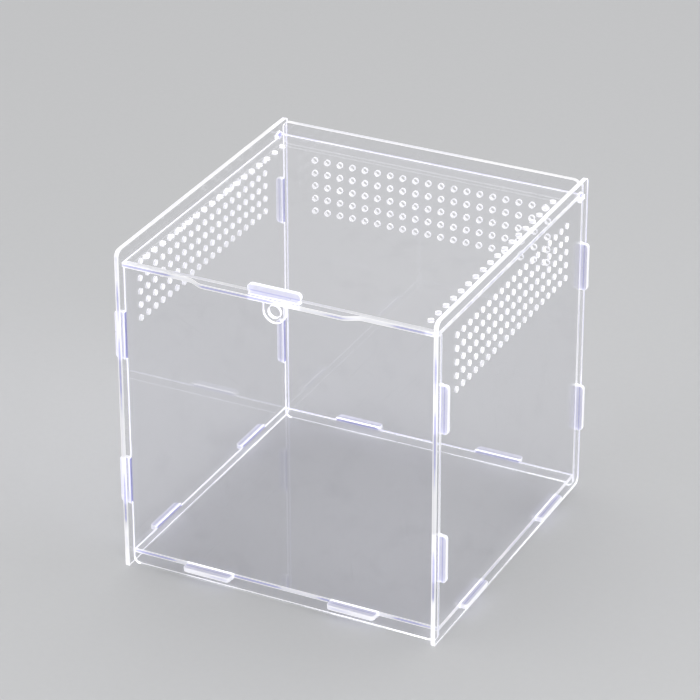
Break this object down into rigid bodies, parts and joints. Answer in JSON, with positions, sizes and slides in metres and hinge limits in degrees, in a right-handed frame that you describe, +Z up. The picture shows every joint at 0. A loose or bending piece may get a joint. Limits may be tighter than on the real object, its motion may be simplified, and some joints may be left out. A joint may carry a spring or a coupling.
{
  "type": "terrarium",
  "caption": "Clear sheet-plastic terrarium box with breathing holes, walls and floor joined by tabs in slots, a hinged lid and a lift-out lock plate.",
  "frame": {"origin": "middle of the surface that the box stands on, midway between the side panels and between their front and rear edges", "axes": "+Z up, +Y towards the back panel and the lid's hinge, +X towards the right side panel as seen from the front"},
  "size_m": [0.208, 0.2097, 0.205],
  "materials": {
    "clear_sheet": "clear, polished faces and bright cut edges"
  },
  "bodies": {
    "box": {"left_side_panel": "clear_sheet", "right_side_panel": "clear_sheet", "front_panel": "clear_sheet", "back_panel": "clear_sheet", "floor_panel": "clear_sheet"},
    "lid": {"lid": "clear_sheet"},
    "lock_plate": {"lock_plate": "clear_sheet"}
  },
  "joints": [
    {"name": "lid_hinge", "type": "hinge", "parent": "box", "child": "lid", "pos_m": [0, 0.0926, 0.1963], "axis": [-1, 0, 0], "range_deg": [0, 102]},
    {"name": "lock_plate_lift", "type": "slide", "parent": "lid", "child": "lock_plate", "axis": [0, 0, 1], "range_m": [0, 0.016]}
  ]
}
